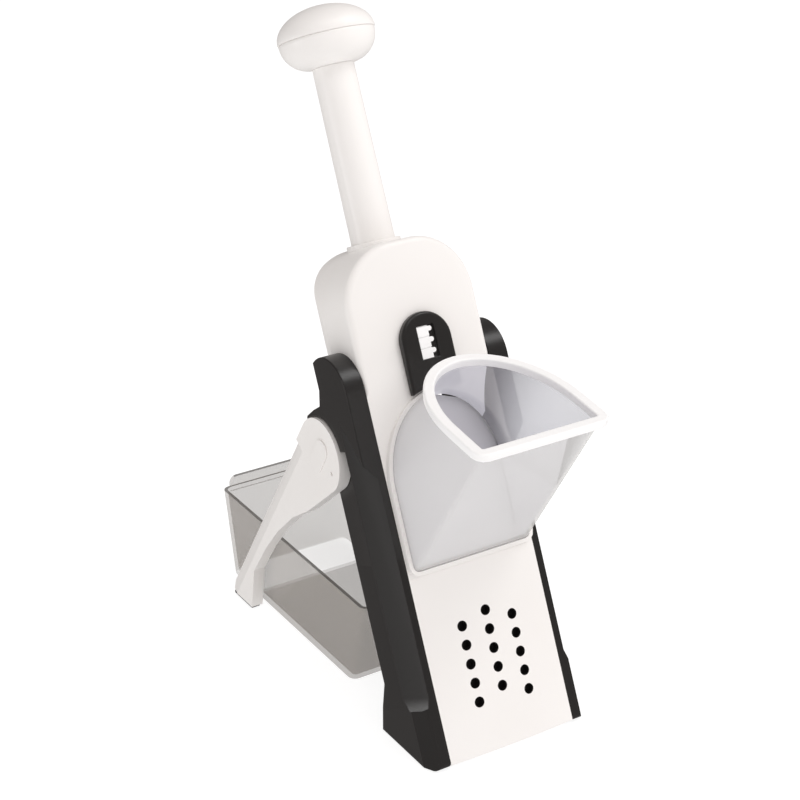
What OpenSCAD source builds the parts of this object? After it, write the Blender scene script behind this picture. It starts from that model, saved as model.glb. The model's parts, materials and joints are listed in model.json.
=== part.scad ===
// Push-down vegetable slicer: a leaning body on two folding legs, a hopper that feeds a sliding deck
// with a V blade, a sprung plunger that drives the deck, and a catch box behind.
// Most pieces are drawn on the slant: X across, Y through the body from its front, Z up along the body.

/* [Stance] */
// Lean of the body back from upright, in degrees
lean = 24.8; // [23:0.2:26]
// Height of the rubber pads under the legs
pad_h = 2; // [1.5:0.1:3]
// Height of the rubber pads under the rails
rail_pad_h = 0.8; // [0.5:0.1:2]

/* [Side rails] */
// Half the clear width between the rails
inner_half = 42; // [41:0.5:46]
// Thickness of each rail
rail_t = 12; // [12:0.5:15]
// Depth of each rail from front to back
rail_depth = 35; // [34:0.5:37]
// Depth of the rounded top of each rail
rail_neck = 32; // [30:0.5:33]
// Top of the rails, along the slant
rail_top = 242.5; // [240:0.5:248]
// Radius at the front of the rail top
rail_front_r = 22; // [18:0.5:26]
// Radius at the back of the rail top
rail_back_r = 9; // [6:0.5:12]
// Height of the upright back of the rail's foot
foot_h = 32; // [28:0.5:36]
// Depth of the rail's foot on the table
foot_depth = 55.5; // [53:0.5:57]
// Radius at the front of the rail's foot
toe_r = 4; // [3:0.5:8]
// Top of the wider foot, where the long chamfer of the rail starts
chamfer_start = 38; // [35:0.5:46]
// End of the long chamfer on the front of the rail
chamfer_end = 170.5; // [160:0.5:176]
// Width of the chamfer across the rail
chamfer_across = 7.5; // [6.5:0.1:8]
// Depth of the chamfer along the side of the rail
chamfer_along = 16.3; // [15:0.1:17.5]
// Width of the chamfer across the foot
foot_across = 5.7; // [4.5:0.1:6.2]
// Depth of the chamfer along the side of the foot
foot_along = 10.2; // [8:0.1:12]
// Depth of the thin web behind the bay that the leg folds into
bay_depth = 48; // [46:0.5:49]
// Lower end of the bay's full depth
bay_s = 120; // [112:0.5:124]

/* [Leg hubs] */
// Height of the leg hubs along the slant
hub_s = 187; // [184:0.5:190]
// Distance of the hub centre behind the rail's back edge
hub_back = 12; // [11.5:0.5:14]
// Radius of the leg's hub
hub_r = 22.4; // [21:0.2:23]
// Gap around the hub in its pocket
hub_gap = 0.8; // [0.5:0.1:1.5]
// Thickness of the ear that carries the hub
ear_t = 5.5; // [4.5:0.1:6]
// Radius of the pivot pin
pin_r = 4; // [3:0.1:5]

/* [Legs] */
// Distance of the foot's back edge behind the hub centre
leg_reach = 118; // [114:0.5:120]
// Length of the foot on the table
leg_foot = 27; // [22:0.5:30]
// Width of the leg in its middle
leg_width = 15; // [13:0.5:18]
// Thickness of the leg
leg_t = 7.8; // [7:0.1:9]
// Width of the bevel along the leg's back edge
leg_bevel = 9; // [5:0.5:10]
// Depth of the bevel into the leg
bevel_t = 3; // [1:0.1:4]
// Radius of the round ends of the cap on the hub
cap_r = 6; // [4:0.1:7]
// How far the cap stands out
cap_proud = 0.9; // [0.6:0.1:1.5]

/* [Upper housing] */
// Top of the housing, along the slant
housing_top = 297; // [294:0.5:300]
// Radius of the housing's shoulders
shoulder_r = 35; // [30:0.5:36]
// Depth of the housing from the rails' front to its back
housing_depth = 48; // [47.5:0.5:50]
// Radius of the upright corners at the housing's back
back_r = 18; // [12:0.5:18.5]
// Wall of the housing
wall = 3; // [2.5:0.1:3.4]
// How far the front bulges forward in its middle
bow = 2.5; // [1.5:0.1:3]
// Lower end of the housing's side walls and back
skirt_s = 214; // [212:0.5:220]

/* [Lower panel] */
// Bottom edge of the panel, along the slant
panel_bottom = 4; // [3:0.5:6]
// Seam between the panel and the housing
seam_s = 111.5; // [110:0.5:113]
// Radius of the panel's holes
hole_r = 3.1; // [2:0.1:4]
// Spacing of the holes across the panel
hole_across = 16.7; // [12:0.1:18]
// Spacing of the holes along the panel
hole_along = 11.1; // [9:0.1:12]
// Middle of the left column of holes
hole_mid = 55.5; // [52:0.5:60]

/* [Hopper] */
// Height of the rim's front edge above the table
rim_z = 208; // [206:0.5:210]
// Tilt of the rim, up towards its back, in degrees
rim_tilt = 7.6; // [6:0.2:9]
// Height of the rim band
rim_h = 5; // [4:0.5:8]
// How far the hopper's sides stand in from the rails
hopper_inset = 3; // [2.5:0.1:5]
// Wall of the hopper
hopper_wall = 2; // [1.8:0.1:2.4]
// How far the rim stands out from the hopper's wall
rim_lip = 4; // [2:0.1:5]
// How far the rim stands in from the hopper's wall
rim_in = 0.2; // [0.1:0.1:0.6]
// Radius of the hopper's low corners
hopper_corner = 3.3; // [3:0.1:6]
// Front of the hopper's mouth, ahead of the body's foot
mouth_front = 17; // [15:0.5:20]
// Length of the mouth from its front to its back
mouth_len = 82.5; // [80:0.5:84]
// Length of the straight sides of the mouth
mouth_side = 26; // [22:0.5:32]
// Start of the outlet's round top
outlet_mid = 162; // [156:0.5:168]
// Height of the outlet's round top
outlet_arch = 47.5; // [44:0.5:48.5]
// Width of the white bead around the outlet
bead_w = 2.4; // [1.5:0.1:2.5]
// Height of the bead above the panel
bead_h = 1.4; // [1:0.1:2]

/* [Latch] */
// Half width of the latch plate
latch_half = 16.3; // [14:0.1:17]
// Height of the latch plate's top above the outlet
latch_h = 45.5; // [42:0.5:48]
// Thickness of the latch plate
latch_t = 4.6; // [4:0.1:5.4]
// Travel of the latch
latch_travel = 6; // [4:0.5:8]
// Half width of the grip window
window_half = 5.6; // [4:0.1:6]
// Length of the grip window
window_len = 18.5; // [15:0.5:20]

/* [Plunger] */
// Radius of the rod at the housing
rod_r = 12.8; // [12:0.1:13]
// How much slimmer the rod is under the knob
rod_taper = 0.6; // [0.2:0.1:1]
// Gap between the rod and the housing's back
rod_gap = 3.2; // [3:0.1:5]
// Radius of the knob
knob_r = 28.4; // [26:0.2:30]
// Height of the bowl under the knob's rim
bowl_h = 17; // [14:0.5:20]
// Height of the knob's dome
dome_h = 18; // [15:0.5:22]
// Stroke of the plunger
stroke = 98; // [90:1:98]

/* [Slicing deck] */
// Depth of the blade's face behind the rails' front
blade_n = 6; // [5.8:0.1:6.4]
// Thickness of the blade
blade_t = 1; // [0.8:0.1:1.2]
// Thickness of a slice
slice_t = 1.5; // [1:0.1:2]
// Height of the V's middle above the outlet, with the plunger up
blade_clear = 2; // [1:0.5:4]
// Rise of the V from its ends to its middle
blade_rise = 14; // [10:0.5:16]
// Gap between the deck and the housing's walls
deck_gap = 0.8; // [0.6:0.1:1.2]
// Thickness of the deck plates
deck_t = 3; // [2.5:0.1:3.2]
// Depth of the deck's side bars
bar_d = 8; // [7:0.1:8.5]

/* [Return springs] */
// Depth of the spring channel's middle behind the rails' front
channel_n = 14; // [13.5:0.1:14.5]
// Width of the spring channel
channel_w = 7.5; // [7:0.1:8]
// Depth of the channel into the rail
channel_d = 7.5; // [7:0.1:7.8]
// Mean radius of a spring's curls
coil_r = 2.6; // [2.4:0.1:2.8]
// Radius of the spring wire
wire_r = 0.5; // [0.4:0.05:0.6]
// Number of curls in a spring
curls = 28; // [20:1:40]
// Radius of the guide rods
guide_r = 1.3; // [1:0.1:1.5]

/* [Catch box] */
// Gap between the box's rim and each leg
box_gap = 1.1; // [0.8:0.1:3]
// Front of the box's rim, behind the body's foot
box_front = 89; // [87:0.5:95]
// Back of the box's rim, behind the body's foot
box_back = 266; // [250:0.5:270]
// Height of the box's rim
box_h = 61; // [55:0.5:64]
// Wall of the box
box_wall = 2.2; // [1.8:0.1:3]
// Draft of the box's sides and back
box_draft = 4; // [3:0.1:6]
// Draft of the box's front
box_front_draft = 20; // [12:0.5:24]
// Radius of the box's upright corners
box_corner = 5; // [4:0.5:10]
// Height of the raised lips at the front and back of the box
lip_h = 8; // [5:0.5:10]

/* [Fits] */
// Running clearance of a shaft in its hole
run_fit = 0.06; // [0.02:0.01:0.1]
// Clearance of a pressed or screwed piece in its seat
seat_fit = 0.02; // [0.01:0.01:0.05]
// Clearance between sliding faces
slide_gap = 0.3; // [0.2:0.05:0.5]

/* [Hidden] */
$fn = 64;
eps = 0.01;

// Colours
white = "#f4f1ee";
black = "#353331";
rubber = "#1f1f1f";
steel = "#c8cacc";
frosted = "#d9dad9";
smoky = "#a9a49d";

// The whole part stands centred over its origin, front to back
y_front = -mouth_front - rim_lip * cos(rim_tilt);
y_mid = (y_front + box_back) / 2;

// Rails
rail_out = inner_half + rail_t;
ear_out = inner_half + ear_t;
hub_n = rail_depth + hub_back;
pocket_r = hub_r + hub_gap;
rail_start = -rail_depth;
ear_shoulder = hub_s + pocket_r;
crown_s = rail_top - rail_front_r;
chamfer_x = rail_out - chamfer_across;
ridge_n = chamfer_along + 1;
bay_top = hub_s + 1;

// The hub's place above the table and behind the foot
hub_y = hub_s * sin(lean) + hub_n * cos(lean);
hub_z = hub_s * cos(lean) - hub_n * sin(lean);

// Legs
leg_in = ear_out + 0.2;
leg_out = leg_in + leg_t;
foot_back = hub_y + leg_reach;
foot_front = foot_back - leg_foot;
heel_h = 8;
box_half = leg_in - box_gap;

// The bulged front is part of a large cylinder
bow_r = (inner_half * inner_half + bow * bow) / (2 * bow);
front_back = 1.5;
rod_n = housing_depth - wall - rod_r - rod_gap;
rod_top_r = rod_r - rod_taper;
split_n = rod_n;
bush_wall = 3;
bush_r = rod_r + bush_wall;
bush_seat = 12;
bush_top = housing_top + 2;

// Hopper outlet, bead and collar
hopper_half = inner_half - hopper_inset;
outlet_bottom = seam_s + bead_w + 2 * slide_gap + 0.5;
outlet_top = outlet_mid + outlet_arch;
bead_n = -bow - bead_h;
collar_end = blade_n - 1;
shell_n = bead_n + 0.5;
ring_step = 5;
corner_step = 30;

// Knob, which stops just short of the bush
knob_gap = 4;
knob_s = bush_top + stroke + knob_gap;
cap_s = knob_s + bowl_h;
cap_overhang = 0.4;
profile_step = 6;

// Deck, with its crosshead well below the bush
deck_half = inner_half - wall - deck_gap;
blade_s = outlet_top + blade_clear - blade_rise;
plate_n = blade_n + blade_t;
platform_n = plate_n + slice_t;
deck_bottom = seam_s + 0.5;
deck_top = housing_top - bush_seat - 1;
bar_w = 4.5;
head_h = 18;
head_top = deck_top - 26;
head_bottom = head_top - head_h;
bar_top = head_top + 4;
lug_s = blade_s - 31;
lug_h = 8;
lug_w = channel_w - 4 * slide_gap;
lug_out = inner_half + channel_d - 2 * slide_gap;

// Springs
spring_x = inner_half + channel_d / 2;
seat_h = 4;
channel_bottom = 13;
channel_top = crown_s;
spring_start = channel_bottom + seat_h;
spring_len = lug_s - spring_start;
guide_end = 4;

// Screws
screw_r = 1.5;
screw_head_r = 3;
screw_head_h = 2;

// Pieces that stand on the table
module standing() {
    translate([0, -y_mid, 0]) children();
}

// Pieces on the leaning body: X across, Y through the body, Z along the slant
module slanted() {
    standing() rotate([-lean, 0, 0]) children();
}

// A sheet across the body, from a side view of it
module side_sheet(x, t) {
    translate([x, 0, 0]) rotate([90, 0, 90]) linear_extrude(t) children();
}

// A sheet through the body, from a front view of it
module front_sheet(n, t) {
    translate([0, n + t, 0]) rotate([90, 0, 0]) linear_extrude(t) children();
}

// A round bar across the body, at a place in the side view
module cross_bar(x, n, s, r, len) {
    translate([x, n, s]) rotate([0, 90, 0]) cylinder(r = r, h = len);
}

// A round bar through the body, at a place in the front view
module through_bar(x, n, s, r, len) {
    translate([x, n, s]) rotate([-90, 0, 0]) cylinder(r = r, h = len);
}

// Everything below the given height above the table, for a piece on the slant
module below_table(height) {
    rotate([lean, 0, 0]) translate([-100, -100, height - 100]) cube([200, 400, 100]);
}

// Rails

// Side view of the rail's rounded top
module rail_crown() {
    intersection() {
        union() {
            translate([rail_front_r, crown_s]) circle(rail_front_r);
            translate([rail_neck - rail_back_r, rail_top - rail_back_r]) circle(rail_back_r);
            translate([rail_front_r, crown_s])
                square([rail_neck - rail_front_r, rail_front_r - rail_back_r]);
            translate([0, hub_s]) square([rail_neck, crown_s - hub_s]);
        }
        translate([0, hub_s]) square([rail_neck, rail_top - hub_s]);
    }
}

// Side view of the shoulder that wraps the top of the hub
module rail_shoulder() {
    polygon([
        [rail_neck - 4, ear_shoulder + 14],
        [rail_neck, ear_shoulder + 14],
        [rail_depth + 1, ear_shoulder + 5],
        [hub_n - 2, ear_shoulder + 3.2],
        [hub_n + 7, ear_shoulder + 0.4],
        [hub_n + 10, hub_s + pocket_r - 4.4],
        [hub_n, hub_s],
        [rail_neck - 4, hub_s]
    ]);
}

// Side view of the foot, from its place on the table
module rail_foot() {
    rotate(lean) polygon([
        [rail_pad_h * tan(lean), rail_pad_h],
        [foot_depth, rail_pad_h],
        [foot_depth, foot_h],
        [foot_h * tan(lean), foot_h]
    ]);
}

// Side view of the sharp corner that the rounded toe leaves out
module toe_corner() {
    nip = 0.03;
    toe_z = rail_pad_h + toe_r - nip;
    toe_y = (toe_r - nip + toe_z * sin(lean)) / cos(lean);
    rotate(lean) difference() {
        polygon([
            [rail_pad_h * tan(lean) - 1, rail_pad_h - 1],
            [toe_y, rail_pad_h - 1],
            [toe_y, toe_z],
            [toe_y - (toe_r + 1) * cos(lean), toe_z + (toe_r + 1) * sin(lean)]
        ]);
        translate([toe_y, toe_z]) circle(toe_r);
    }
}

module rail_outline() {
    difference() {
        union() {
            rail_crown();
            rail_shoulder();
            rail_foot();
            translate([0, rail_start]) square([rail_depth, hub_s - rail_start]);
            polygon([
                [0, chamfer_start],
                [rail_depth, chamfer_start],
                [bay_depth, bay_s],
                [bay_depth, hub_s],
                [0, hub_s]
            ]);
        }
        toe_corner();
    }
}

// Bay in the rail's side, behind its chamfer, which the leg folds into
module leg_bay() {
    ridge_slope = 5;
    reach = 2 * bay_depth;
    intersection() {
        front_sheet(ridge_n, reach) polygon([
            [rail_out, chamfer_start],
            [ear_out, bay_s],
            [ear_out, bay_top],
            [rail_out + 1, bay_top],
            [rail_out + 1, chamfer_start]
        ]);
        translate([0, 0, chamfer_start]) linear_extrude(bay_top - chamfer_start) polygon([
            [rail_out, ridge_n],
            [rail_out + 1, ridge_n],
            [rail_out + 1, reach],
            [ear_out, reach],
            [ear_out, ridge_n + ridge_slope]
        ]);
    }
}

// What a chamfer along the rail takes off, between two heights on the slant
module chamfer_cut(across, along, bottom, top) {
    slope = across / along;
    translate([0, 0, bottom]) linear_extrude(top - bottom) polygon([
        [rail_out - across - slope, -1],
        [rail_out + slope, -1],
        [rail_out + slope, along + 1]
    ]);
}

// The long chamfer, which runs out on a slope at its top and on a steep ledge above the foot
module long_chamfer() {
    runout_turn = [46, -50, 0];
    ledge_turn = [24, 73, 0];
    ledge_h = 7;
    block = 200;
    difference() {
        chamfer_cut(chamfer_across, chamfer_along, chamfer_start, crown_s);
        translate([chamfer_x, 0, chamfer_end]) rotate(runout_turn)
            translate([-block / 2, -block / 2, 0]) cube(block);
        translate([chamfer_x, 0, chamfer_start + ledge_h]) rotate(ledge_turn)
            translate([-block / 2, -block / 2, -block]) cube(block);
    }
}

module rail() {
    difference() {
        union() {
            side_sheet(inner_half, rail_t) rail_outline();
            side_sheet(inner_half, ear_t) translate([hub_n, hub_s]) circle(hub_r);
        }
        side_sheet(ear_out, rail_t) translate([hub_n, hub_s]) circle(pocket_r);
        cross_bar(inner_half - 1, hub_n, hub_s, pin_r + seat_fit, rail_t);
        translate([inner_half - 1, channel_n - channel_w / 2, channel_bottom])
            cube([channel_d + 1, channel_w, channel_top - channel_bottom]);
        translate([spring_x, channel_n, channel_bottom - guide_end])
            cylinder(r = guide_r + seat_fit, h = channel_top - channel_bottom + 2 * guide_end);
        leg_bay();
        long_chamfer();
        chamfer_cut(foot_across, foot_along, rail_start, chamfer_start + 1);
        below_table(rail_pad_h);
    }
}

module left_rail() {
    color(black) slanted() mirror([1, 0, 0]) rail();
}

module right_rail() {
    color(black) slanted() rail();
}

module rail_pads() {
    pad_inset = 2;
    pad_front = foot_along + 2;
    color(rubber) standing() for (side = [-1, 1])
        translate([side * (inner_half + rail_t / 2), pad_front, 0])
            translate([-rail_t / 2 + pad_inset, 0, 0])
            cube([rail_t - 2 * pad_inset, foot_depth - pad_front - pad_inset, rail_pad_h]);
}

// Steel rods that guide the deck's lugs, one in each rail
module guide_rods() {
    color(steel) slanted() for (side = [-1, 1])
        translate([side * spring_x, channel_n, channel_bottom - guide_end])
            cylinder(r = guide_r, h = channel_top - channel_bottom + 2 * guide_end);
}

// Seats at the bottom of the springs
module spring_seats() {
    seat_w = channel_w - 2 * seat_fit;
    color(white) slanted() for (side = [-1, 1])
        difference() {
            translate([side * spring_x - channel_d / 2 + seat_fit, channel_n - seat_w / 2, channel_bottom])
                cube([channel_d - 2 * seat_fit, seat_w, seat_h]);
            translate([side * spring_x, channel_n, channel_bottom - 1])
                cylinder(r = guide_r + seat_fit, h = seat_h + 2);
        }
}

// Springs

rings_per_curl = 8;
wire_sides = 6;
end_gap = 0.1;
spring_rings = curls * rings_per_curl;
spring_climb = (spring_len - 2 * wire_r - 2 * end_gap) / spring_rings;
spring_pitch = spring_climb * rings_per_curl;
coil_slope = atan2(spring_pitch, 2 * PI * coil_r);

function coil_point(ring) = let (turn = ring * 360 / rings_per_curl)
    [coil_r * cos(turn), coil_r * sin(turn), wire_r + end_gap + ring * spring_climb];

// A point on the wire's skin: out from the coil's axis, and across the wire's run
function wire_point(ring, corner) =
    let (turn = ring * 360 / rings_per_curl, around = corner * 360 / wire_sides)
    let (outward = [cos(turn), sin(turn), 0])
    let (upward = [sin(turn) * sin(coil_slope), -cos(turn) * sin(coil_slope), cos(coil_slope)])
    coil_point(ring) + wire_r * (cos(around) * outward + sin(around) * upward);

coil_points = [for (ring = [0:spring_rings]) coil_point(ring)];
coil_gap = min([for (i = [0:rings_per_curl / 2:spring_rings - rings_per_curl])
    for (j = [i + rings_per_curl / 2:min(i + 2 * rings_per_curl, spring_rings)])
        norm(coil_points[j] - coil_points[i])]) - 2 * wire_r;
echo(least_gap_between_curls = coil_gap);

module return_spring() {
    points = [for (ring = [0:spring_rings]) for (corner = [0:wire_sides - 1]) wire_point(ring, corner)];
    last = spring_rings * wire_sides;
    sides = [for (ring = [0:spring_rings - 1]) for (corner = [0:wire_sides - 1])
        let (next = (corner + 1) % wire_sides)
        let (a = ring * wire_sides + corner, b = ring * wire_sides + next)
        for (face = [[a, b, b + wire_sides], [a, b + wire_sides, a + wire_sides]]) face];
    start_cap = [for (corner = [1:wire_sides - 2]) [0, corner + 1, corner]];
    end_cap = [for (corner = [1:wire_sides - 2]) [last, last + corner, last + corner + 1]];
    polyhedron(points, concat(sides, start_cap, end_cap), convexity = 10);
}

module placed_spring(side) {
    color(steel) slanted() translate([side * spring_x, channel_n, spring_start]) return_spring();
}

module left_spring() {
    placed_spring(-1);
}

module right_spring() {
    placed_spring(1);
}

// Housing

// Front view of the housing, drawn smaller by the inset
module housing_outline(inset, bottom) {
    half = inner_half - inset;
    top = housing_top - inset;
    radius = shoulder_r - inset;
    translate([-half, bottom]) square([2 * half, top - radius - bottom]);
    translate([radius - half, bottom]) square([2 * (half - radius), top - bottom]);
    for (side = [-1, 1])
        translate([side * (half - radius), top - radius]) circle(radius);
}

// Everything behind the bulged front
module behind_front(bottom, top) {
    translate([0, bow_r - bow, bottom]) cylinder(r = bow_r, h = top - bottom, $fn = 256);
}

// Front view of the D-shaped outlet, drawn larger by the margin
function outlet_points(margin) = d_ring(hopper_half + margin, outlet_bottom - margin, outlet_mid,
    outlet_arch + margin, hopper_corner + margin);

module outlet_shape(margin) {
    polygon(outlet_points(margin));
}

// Places of the four screws that hold the back on
boss_r = 4.5;
screw_x = rod_r + boss_r + 2.2;
side_len = housing_top - shoulder_r - skirt_s;
screw_places = [for (side = [-1, 1]) for (share = [0.2, 0.8]) [side * screw_x, skirt_s + share * side_len]];
boss_start = platform_n + bar_d + deck_t;
screw_depth = 8;

module screw_bosses(n, len) {
    for (place = screw_places)
        through_bar(place[0], n, place[1], boss_r, len);
}

// Webs from the bosses to the side walls
module boss_webs(n, len) {
    web_t = 3;
    web_out = inner_half - wall / 2;
    for (place = screw_places)
        translate([place[0] > 0 ? screw_x : -web_out, n, place[1] - web_t / 2])
            cube([web_out - screw_x, len, web_t]);
}

module bush_bore() {
    translate([0, rod_n, housing_top - bush_seat]) cylinder(r = bush_r + seat_fit, h = 2 * bush_seat);
}

module upper_housing() {
    stem_half = latch_half / 3;
    color(white) slanted() difference() {
        union() {
            difference() {
                intersection() {
                    front_sheet(-bow, split_n + bow) housing_outline(0, seam_s);
                    behind_front(seam_s, housing_top);
                }
                front_sheet(front_back, split_n) housing_outline(wall, seam_s - 1);
                translate([-inner_half - 1, front_back, seam_s - 1])
                    cube([2 * inner_half + 2, split_n, skirt_s - seam_s + 1]);
            }
            front_sheet(bead_n, front_back - bead_n) outlet_shape(slide_gap + bead_w);
            screw_bosses(boss_start, split_n - boss_start);
            boss_webs(boss_start, split_n - boss_start);
        }
        front_sheet(bead_n - 1, front_back - bead_n + 2) outlet_shape(slide_gap);
        translate([-stem_half - slide_gap, -bow - 1, stem_s - slide_gap])
            cube([2 * (stem_half + slide_gap), front_back + bow + 2, stem_h + latch_travel + 2 * slide_gap]);
        for (place = screw_places)
            through_bar(place[0], split_n - screw_depth, place[1], screw_r + seat_fit, screw_depth + 1);
        bush_bore();
    }
}

// Housing from a depth to its back, with rounded corners there, drawn smaller by the inset
module back_form(n, inset, bottom) {
    half = inner_half - inset;
    back = housing_depth - inset;
    radius = back_r - inset;
    intersection() {
        front_sheet(n, back - n) housing_outline(inset, bottom);
        translate([0, 0, bottom - 1]) linear_extrude(housing_top - bottom + 2) {
            translate([-half, n]) square([2 * half, back - radius - n]);
            translate([radius - half, n]) square([2 * (half - radius), back - n]);
            for (side = [-1, 1])
                translate([side * (half - radius), back - radius]) circle(radius);
        }
    }
}

module housing_back() {
    back_t = housing_depth - split_n;
    color(white) slanted() difference() {
        union() {
            difference() {
                back_form(split_n, 0, skirt_s);
                back_form(split_n - 1, wall, skirt_s - 1);
            }
            screw_bosses(split_n, back_t - wall / 2);
        }
        for (place = screw_places) {
            through_bar(place[0], split_n - 1, place[1], screw_r + seat_fit, housing_depth);
            through_bar(place[0], housing_depth - screw_head_h, place[1], screw_head_r + seat_fit,
                housing_depth);
        }
        bush_bore();
    }
}

module back_screws() {
    color(steel) slanted() for (place = screw_places) {
        through_bar(place[0], split_n - screw_depth, place[1], screw_r,
            housing_depth - split_n + screw_depth - screw_head_h);
        through_bar(place[0], housing_depth - screw_head_h, place[1], screw_head_r, screw_head_h);
    }
}

// Collar that guides the rod in the top of the housing
module rod_bush() {
    color(white) slanted() translate([0, rod_n, housing_top - bush_seat])
        difference() {
            cylinder(r = bush_r, h = bush_top - housing_top + bush_seat);
            translate([0, 0, -1]) cylinder(r = rod_r + run_fit, h = 2 * bush_seat);
        }
}

// Lower body

panel_back = 3;
backer_t = 1.5;
hole_shift = [0, 4.7, -2.4];

module lower_panel() {
    color(white) slanted() difference() {
        intersection() {
            translate([-inner_half, -bow, panel_bottom])
                cube([2 * inner_half, panel_back + bow, seam_s - panel_bottom]);
            behind_front(panel_bottom - 1, seam_s + 1);
        }
        for (column = [0:2]) for (row = [-2:2])
            through_bar((column - 1) * hole_across, -bow - 1,
                hole_mid + hole_shift[column] + row * hole_along, hole_r, panel_back + bow + 2);
        below_table(rail_pad_h);
    }
}

// Black sheet behind the holes
module panel_backer() {
    half = hole_across + hole_r + 6;
    reach = 2.5 * hole_along + hole_r + 4;
    color(black) slanted() translate([-half, panel_back, hole_mid - reach])
        cube([2 * half, backer_t, 2 * reach]);
}

cross_n = platform_n + bar_d + 2;
cross_s = 18;
cross_size = 10;

// Bar that joins the rails near the table
module lower_cross() {
    color(black) slanted() translate([-inner_half, cross_n, cross_s])
        cube([2 * inner_half, cross_size, cross_size]);
}

// Sloping sheet that turns the slices back into the box
module slice_guide() {
    guide_t = 2.5;
    guide_back = rail_depth - 1;
    guide_low = seam_s - guide_back + cross_n;
    color(black) slanted() side_sheet(-inner_half, 2 * inner_half)
        polygon([
            [cross_n, seam_s],
            [cross_n + guide_t, seam_s],
            [guide_back, guide_low + guide_t],
            [guide_back, guide_low]
        ]);
}

// Hopper

// Points around a D: a straight low edge with round corners, two sides, and an arch over them
function d_ring(half, low, mid, arch, corner) = concat(
    [for (turn = [-90:corner_step:0])
        [half - corner + corner * cos(turn), low + corner + corner * sin(turn)]],
    [for (turn = [0:ring_step:180]) [half * cos(turn), mid + arch * sin(turn)]],
    [for (turn = [180:corner_step:270])
        [corner - half + corner * cos(turn), low + corner + corner * sin(turn)]]
);

// The hopper's mouth in the plane of its rim, from its front edge, drawn larger by the margin
function mouth_points(margin) = d_ring(hopper_half + margin, -margin, mouth_side,
    mouth_len - mouth_side + margin, hopper_corner + margin);

// The mouth at a depth below its rim
function mouth_ring(margin, drop) = [for (point = mouth_points(margin)) [
    point[0],
    point[1] * cos(rim_tilt) + drop * sin(rim_tilt) - mouth_front,
    point[1] * sin(rim_tilt) - drop * cos(rim_tilt) + rim_z
]];

// The outlet at a depth behind the rails' front
function outlet_ring(margin, n) = [for (point = outlet_points(margin)) [
    point[0],
    point[1] * sin(lean) + n * cos(lean),
    point[1] * cos(lean) - n * sin(lean)
]];

// Triangles between one ring of points and the next
function band_faces(first, second, count) = [for (i = [0:count - 1])
    let (next = (i + 1) % count)
    for (face = [
        [first * count + i, first * count + next, second * count + next],
        [first * count + i, second * count + next, second * count + i]
    ]) face];

// Skin through closed rings of points, back to the first ring
module ring_skin(rings) {
    count = len(rings[0]);
    polyhedron(
        [for (ring = rings) for (point = ring) point],
        [for (k = [0:len(rings) - 1]) for (face = band_faces(k, (k + 1) % len(rings), count)) face],
        convexity = 6
    );
}

module chute_body() {
    wall_step = 0.6;
    color(frosted, 0.6) standing() ring_skin([
        mouth_ring(-wall_step, rim_h),
        outlet_ring(0, shell_n),
        outlet_ring(0, collar_end),
        outlet_ring(-hopper_wall, collar_end),
        outlet_ring(-hopper_wall, shell_n),
        mouth_ring(-hopper_wall, rim_h)
    ]);
}

module chute_rim() {
    color("white") standing() translate([0, -mouth_front, rim_z]) rotate([rim_tilt, 0, 0])
        translate([0, 0, -rim_h]) linear_extrude(rim_h)
        difference() {
            polygon(mouth_points(rim_lip));
            polygon(mouth_points(-hopper_wall - rim_in));
        }
}

// Latch

latch_n = -bow - 0.1;
latch_top = outlet_top + latch_h;
latch_arc = latch_top - latch_half;
stem_s = latch_top - 23;
stem_h = 12;
window_s = latch_top - 8 - window_len;
window_d = 1.8;

// Front view of the latch plate, whose lower edge stays clear of the bead and the hopper
module latch_outline() {
    notch_gap = 1.2;
    notch_half = latch_half / 3;
    notch_s = outlet_top + slide_gap + bead_w + notch_gap;
    foot_drop = latch_half / 5;
    polygon([
        [-latch_half, notch_s - foot_drop],
        [-notch_half, notch_s],
        [notch_half, notch_s],
        [latch_half, notch_s - foot_drop],
        [latch_half, latch_arc],
        [-latch_half, latch_arc]
    ]);
    translate([0, latch_arc]) circle(latch_half);
}

module latch_plate() {
    stem_half = latch_half / 3;
    keeper = 3;
    keeper_t = 1.6;
    color(black) slanted() {
        difference() {
            front_sheet(latch_n - latch_t, latch_t) latch_outline();
            translate([-window_half, latch_n - latch_t - 1, window_s])
                cube([2 * window_half, window_d + 1, window_len]);
        }
        translate([-stem_half, latch_n, stem_s]) cube([2 * stem_half, front_back - latch_n + 1, stem_h]);
        translate([-stem_half - keeper, front_back + 0.2, stem_s])
            cube([2 * (stem_half + keeper), keeper_t, stem_h]);
    }
}

// Ribbed thumb grip in the latch's window, with a row of teeth at its right
module latch_grip() {
    ribs = 3;
    rib_pitch = window_len / ribs;
    rib_gap = 0.5;
    tooth_r = 1.4;
    grip_w = 1.3 * window_half;
    grip_inset = 0.3;
    groove = 0.7;
    grip_n = latch_n - latch_t + grip_inset;
    grip_t = window_d - grip_inset;
    color("white") slanted() {
        translate([-window_half, grip_n + groove, window_s]) cube([grip_w, grip_t - groove, window_len]);
        for (rib = [0:ribs - 1]) {
            rib_s = window_s + rib * rib_pitch;
            tooth_s = rib_s + rib_pitch - tooth_r - groove;
            translate([-window_half, grip_n, rib_s]) cube([grip_w, grip_t, rib_pitch - rib_gap]);
            through_bar(grip_w - window_half + 1, grip_n, tooth_s, tooth_r, grip_t);
            translate([grip_w - window_half - 1, grip_n, tooth_s - tooth_r]) cube([2, grip_t, 2 * tooth_r]);
        }
    }
}

// Plunger

spigot_r = 6;
spigot_h = 12;
bolt_r = 2.5;
bolt_depth = 16;
bolt_head_r = 5;
bolt_head_h = 3;

// A body of revolution about the rod's axis, at a height on the slant
module on_rod(s) {
    slanted() translate([0, rod_n, s]) children();
}

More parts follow.
